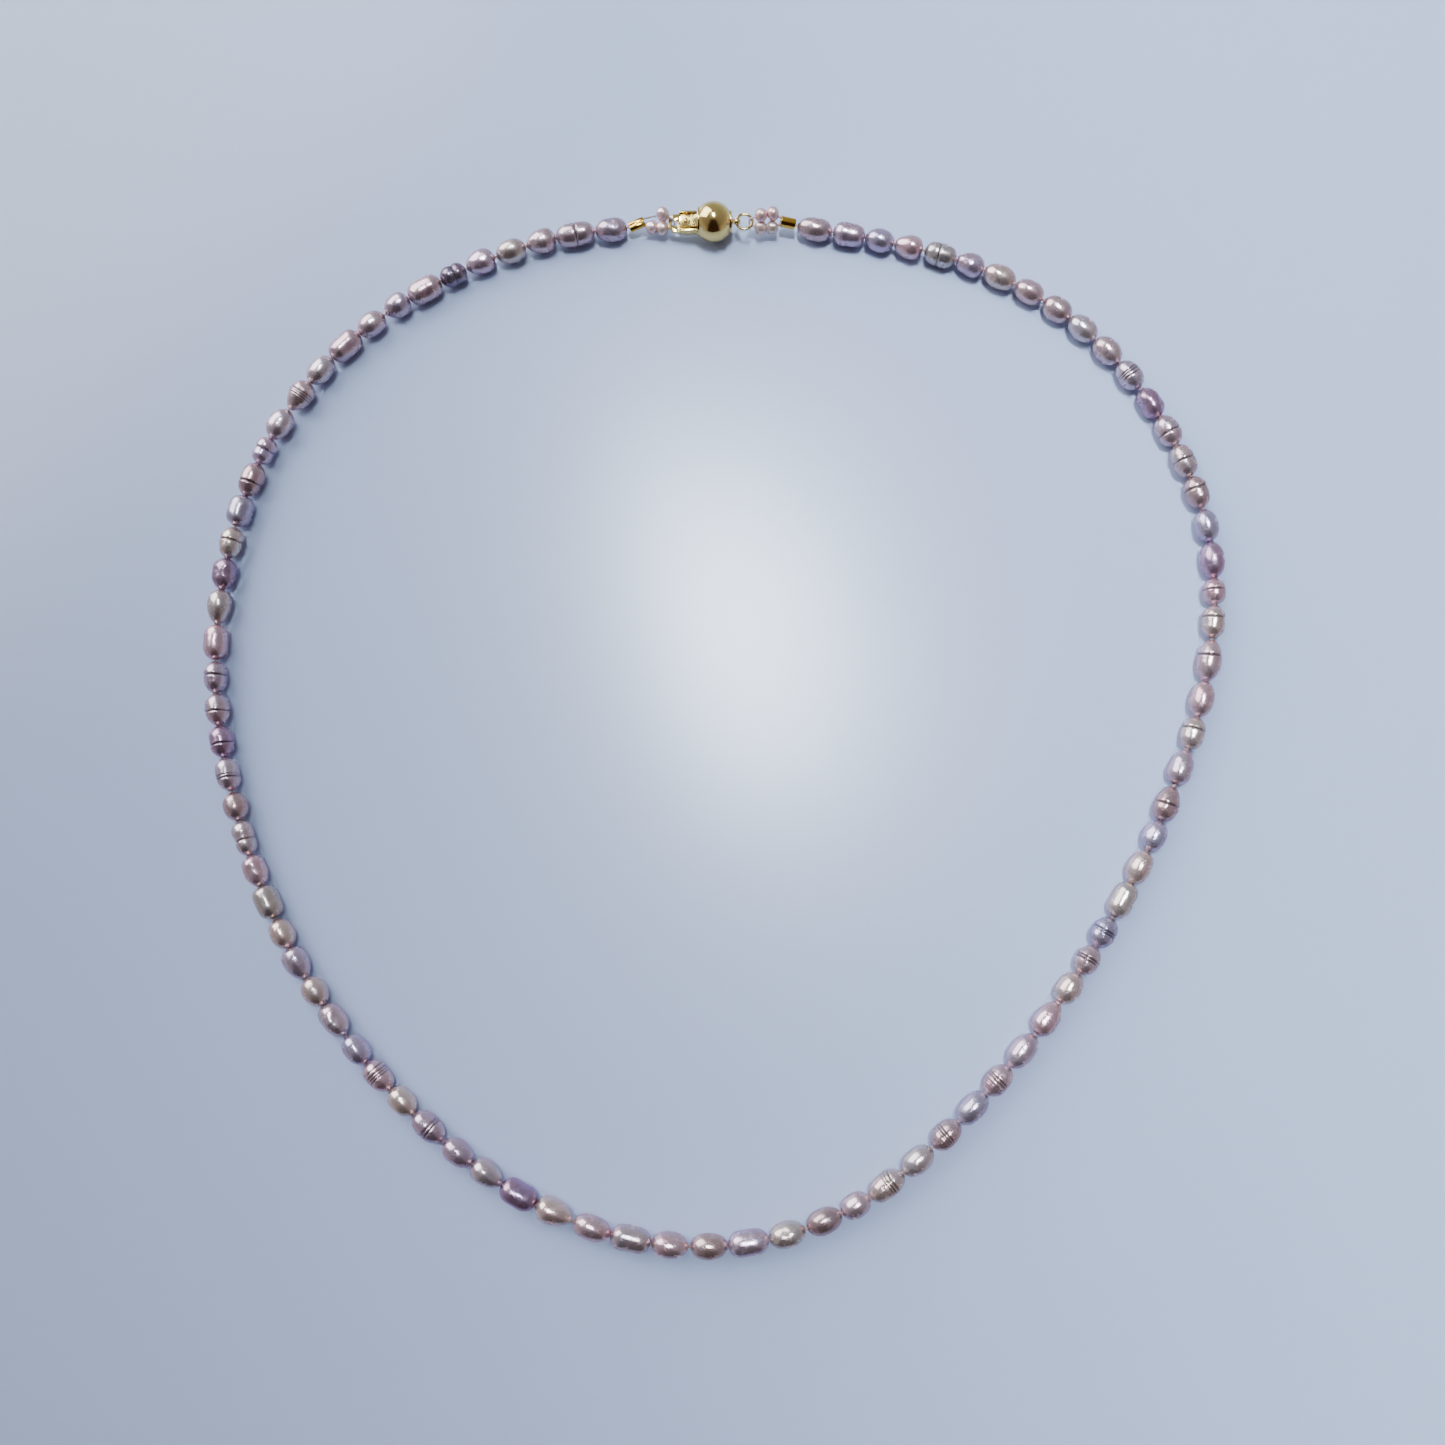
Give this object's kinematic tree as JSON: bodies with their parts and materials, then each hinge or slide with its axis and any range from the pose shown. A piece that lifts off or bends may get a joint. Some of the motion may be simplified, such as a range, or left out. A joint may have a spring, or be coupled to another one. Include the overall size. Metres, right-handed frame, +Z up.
{
  "type": "pearl necklace",
  "caption": "Closed strand of rice pearls on thread, with seed pearl end loops, a jump ring and a push-in ball clasp with a sprung tongue.",
  "frame": {"origin": "middle of the loop's outline, on the surface the necklace lies on", "axes": "+Z up from the surface, +Y from the front of the strand towards the clasp, +X to the side of the jump ring"},
  "size_m": [0.1524, 0.1565, 0.006],
  "materials": {
    "nacre": "lustrous nacre, mauve to silver",
    "seed_nacre": "lustrous seed pearl nacre, pink-lilac",
    "gold": "polished pale gold",
    "thread": "fine twisted silk thread, dusky pink"
  },
  "bodies": {
    "clasp_ball": {"ball_shell": "gold", "mouth_plate": "gold", "end_cap": "gold", "ring_eye": "gold"},
    "clasp_tongue": {"tongue_plate": "gold", "eye_plate": "gold"},
    "spring_leaf": {"spring_leaf": "gold", "thumb_stud": "gold"},
    "jump_ring": {"jump_ring": "gold"},
    "right_loop": {"right_loop_thread": "thread", "right_seed_pearls": "seed_nacre", "right_end_tube": "gold"},
    "left_loop": {"left_loop_thread": "thread", "left_seed_pearls": "seed_nacre", "left_end_tube": "gold"},
    "right_link_01": {"right_pearls_01": "nacre", "right_thread_01": "thread"},
    "right_link_02": {"right_pearls_02": "nacre", "right_thread_02": "thread"},
    "right_link_03": {"right_pearls_03": "nacre", "right_thread_03": "thread"},
    "right_link_04": {"right_pearls_04": "nacre", "right_thread_04": "thread"},
    "right_link_05": {"right_pearls_05": "nacre", "right_thread_05": "thread"},
    "right_link_06": {"right_pearls_06": "nacre", "right_thread_06": "thread"},
    "right_link_07": {"right_pearls_07": "nacre", "right_thread_07": "thread"},
    "right_link_08": {"right_pearls_08": "nacre", "right_thread_08": "thread"},
    "right_link_09": {"right_pearls_09": "nacre", "right_thread_09": "thread"},
    "right_link_10": {"right_pearls_10": "nacre", "right_thread_10": "thread"},
    "right_link_11": {"right_pearls_11": "nacre", "right_thread_11": "thread"},
    "left_link_01": {"left_pearls_01": "nacre", "left_thread_01": "thread"},
    "left_link_02": {"left_pearls_02": "nacre", "left_thread_02": "thread"},
    "left_link_03": {"left_pearls_03": "nacre", "left_thread_03": "thread"},
    "left_link_04": {"left_pearls_04": "nacre", "left_thread_04": "thread"},
    "left_link_05": {"left_pearls_05": "nacre", "left_thread_05": "thread"},
    "left_link_06": {"left_pearls_06": "nacre", "left_thread_06": "thread"},
    "left_link_07": {"left_pearls_07": "nacre", "left_thread_07": "thread"},
    "left_link_08": {"left_pearls_08": "nacre", "left_thread_08": "thread"},
    "left_link_09": {"left_pearls_09": "nacre", "left_thread_09": "thread"},
    "left_link_10": {"left_pearls_10": "nacre", "left_thread_10": "thread"},
    "left_link_11": {"left_pearls_11": "nacre", "left_thread_11": "thread"}
  },
  "joints": [
    {"name": "clasp_release", "type": "slide", "parent": "clasp_ball", "child": "clasp_tongue", "axis": [-1, 0, 0], "range_m": [0, 0.0046]},
    {"name": "spring_leaf_press", "type": "hinge", "parent": "clasp_tongue", "child": "spring_leaf", "pos_m": [0.00061, 0.0755, 0.00254], "axis": [0, -1, 0], "range_deg": [0, 6], "stiffness_Nm_per_rad": 0.01},
    {"name": "jump_ring_turn", "type": "hinge", "parent": "clasp_ball", "child": "jump_ring", "pos_m": [0.00436, 0.0755, 0.003], "axis": [0, 0, 1], "continuous": true},
    {"name": "right_loop_swing", "type": "hinge", "parent": "clasp_ball", "child": "right_loop", "pos_m": [0.00436, 0.0755, 0.003], "axis": [0, 0, 1], "range_deg": [-3, 3]},
    {"name": "left_loop_swing", "type": "hinge", "parent": "clasp_tongue", "child": "left_loop", "pos_m": [-0.00635, 0.0755, 0.00237], "axis": [0, 0, 1], "range_deg": [-3, 3]},
    {"name": "strand_drape", "type": "hinge", "parent": "right_loop", "child": "right_link_01", "pos_m": [0.01242, 0.07535, 0.0018], "axis": [0, 0, 1], "range_deg": [-9, 9]},
    {"name": "right_bend_02", "type": "hinge", "parent": "right_link_01", "child": "right_link_02", "pos_m": [0.03208, 0.0715, 0.0018], "axis": [0, 0, 1], "range_deg": [-4, 4]},
    {"name": "right_bend_03", "type": "hinge", "parent": "right_link_02", "child": "right_link_03", "pos_m": [0.05034, 0.06342, 0.0018], "axis": [0, 0, 1], "range_deg": [-8, 8]},
    {"name": "right_bend_04", "type": "hinge", "parent": "right_link_03", "child": "right_link_04", "pos_m": [0.06468, 0.04923, 0.0018], "axis": [0, 0, 1], "range_deg": [-11, 11]},
    {"name": "right_bend_05", "type": "hinge", "parent": "right_link_04", "child": "right_link_05", "pos_m": [0.07327, 0.03041, 0.0018], "axis": [0, 0, 1], "range_deg": [-7, 7]},
    {"name": "right_bend_06", "type": "hinge", "parent": "right_link_05", "child": "right_link_06", "pos_m": [0.07382, 0.0105, 0.0018], "axis": [0, 0, 1], "range_deg": [-2, 2]},
    {"name": "right_bend_07", "type": "hinge", "parent": "right_link_06", "child": "right_link_07", "pos_m": [0.06739, -0.01132, 0.0018], "axis": [0, 0, 1], "range_deg": [-8, 8]},
    {"name": "right_bend_08", "type": "hinge", "parent": "right_link_07", "child": "right_link_08", "pos_m": [0.05753, -0.03045, 0.0018], "axis": [0, 0, 1], "range_deg": [-11, 11]},
    {"name": "right_bend_09", "type": "hinge", "parent": "right_link_08", "child": "right_link_09", "pos_m": [0.04587, -0.04705, 0.0018], "axis": [0, 0, 1], "range_deg": [-7, 7]},
    {"name": "right_bend_10", "type": "hinge", "parent": "right_link_09", "child": "right_link_10", "pos_m": [0.03081, -0.06278, 0.0018], "axis": [0, 0, 1], "range_deg": [-3, 3]},
    {"name": "right_bend_11", "type": "hinge", "parent": "right_link_10", "child": "right_link_11", "pos_m": [0.0128, -0.07387, 0.0018], "axis": [0, 0, 1], "range_deg": [-9, 9]},
    {"name": "left_bend_01", "type": "hinge", "parent": "left_loop", "child": "left_link_01", "pos_m": [-0.01359, 0.075, 0.0018], "axis": [0, 0, 1], "range_deg": [-11, 11]},
    {"name": "left_bend_02", "type": "hinge", "parent": "left_link_01", "child": "left_link_02", "pos_m": [-0.03401, 0.07041, 0.0018], "axis": [0, 0, 1], "range_deg": [-4, 4]},
    {"name": "left_bend_03", "type": "hinge", "parent": "left_link_02", "child": "left_link_03", "pos_m": [-0.05084, 0.06106, 0.0018], "axis": [0, 0, 1], "range_deg": [-8, 8]},
    {"name": "left_bend_04", "type": "hinge", "parent": "left_link_03", "child": "left_link_04", "pos_m": [-0.0649, 0.0459, 0.0018], "axis": [0, 0, 1], "range_deg": [-11, 11]},
    {"name": "left_bend_05", "type": "hinge", "parent": "left_link_04", "child": "left_link_05", "pos_m": [-0.07227, 0.02762, 0.0018], "axis": [0, 0, 1], "range_deg": [-8, 8]},
    {"name": "left_bend_06", "type": "hinge", "parent": "left_link_05", "child": "left_link_06", "pos_m": [-0.0743, 0.00723, 0.0018], "axis": [0, 0, 1], "range_deg": [-2, 2]},
    {"name": "left_bend_07", "type": "hinge", "parent": "left_link_06", "child": "left_link_07", "pos_m": [-0.07094, -0.01223, 0.0018], "axis": [0, 0, 1], "range_deg": [-8, 8]},
    {"name": "left_bend_08", "type": "hinge", "parent": "left_link_07", "child": "left_link_08", "pos_m": [-0.06383, -0.03068, 0.0018], "axis": [0, 0, 1], "range_deg": [-10, 10]},
    {"name": "left_bend_09", "type": "hinge", "parent": "left_link_08", "child": "left_link_09", "pos_m": [-0.05302, -0.04723, 0.0018], "axis": [0, 0, 1], "range_deg": [-8, 8]},
    {"name": "left_bend_10", "type": "hinge", "parent": "left_link_09", "child": "left_link_10", "pos_m": [-0.03862, -0.06184, 0.0018], "axis": [0, 0, 1], "range_deg": [-2, 2]},
    {"name": "left_bend_11", "type": "hinge", "parent": "left_link_10", "child": "left_link_11", "pos_m": [-0.02019, -0.07284, 0.0018], "axis": [0, 0, 1], "range_deg": [-8, 8]}
  ],
  "couplings": [
    {"joint": "right_loop_swing", "follows": "clasp_release", "rad_per_m": -2.8508},
    {"joint": "left_loop_swing", "follows": "clasp_release", "rad_per_m": 3.7376},
    {"joint": "right_bend_02", "follows": "strand_drape", "ratio": 0.27432},
    {"joint": "right_bend_03", "follows": "strand_drape", "ratio": -0.74713},
    {"joint": "right_bend_04", "follows": "strand_drape", "ratio": -1.0645},
    {"joint": "right_bend_05", "follows": "strand_drape", "ratio": -0.63453},
    {"joint": "right_bend_06", "follows": "strand_drape", "ratio": 0.03981},
    {"joint": "right_bend_07", "follows": "strand_drape", "ratio": 0.75843},
    {"joint": "right_bend_08", "follows": "strand_drape", "ratio": 1.0221},
    {"joint": "right_bend_09", "follows": "strand_drape", "ratio": 0.61607},
    {"joint": "right_bend_10", "follows": "strand_drape", "ratio": -0.14588},
    {"joint": "right_bend_11", "follows": "strand_drape", "ratio": -0.79193},
    {"joint": "left_bend_01", "follows": "strand_drape", "ratio": -1.0827},
    {"joint": "left_bend_02", "follows": "strand_drape", "ratio": -0.22876},
    {"joint": "left_bend_03", "follows": "strand_drape", "ratio": 0.69529},
    {"joint": "left_bend_04", "follows": "strand_drape", "ratio": 1.0767},
    {"joint": "left_bend_05", "follows": "strand_drape", "ratio": 0.74182},
    {"joint": "left_bend_06", "follows": "strand_drape", "ratio": -0.02112},
    {"joint": "left_bend_07", "follows": "strand_drape", "ratio": -0.67528},
    {"joint": "left_bend_08", "follows": "strand_drape", "ratio": -0.94853},
    {"joint": "left_bend_09", "follows": "strand_drape", "ratio": -0.69403},
    {"joint": "left_bend_10", "follows": "strand_drape", "ratio": -0.04328},
    {"joint": "left_bend_11", "follows": "strand_drape", "ratio": 0.71981}
  ]
}
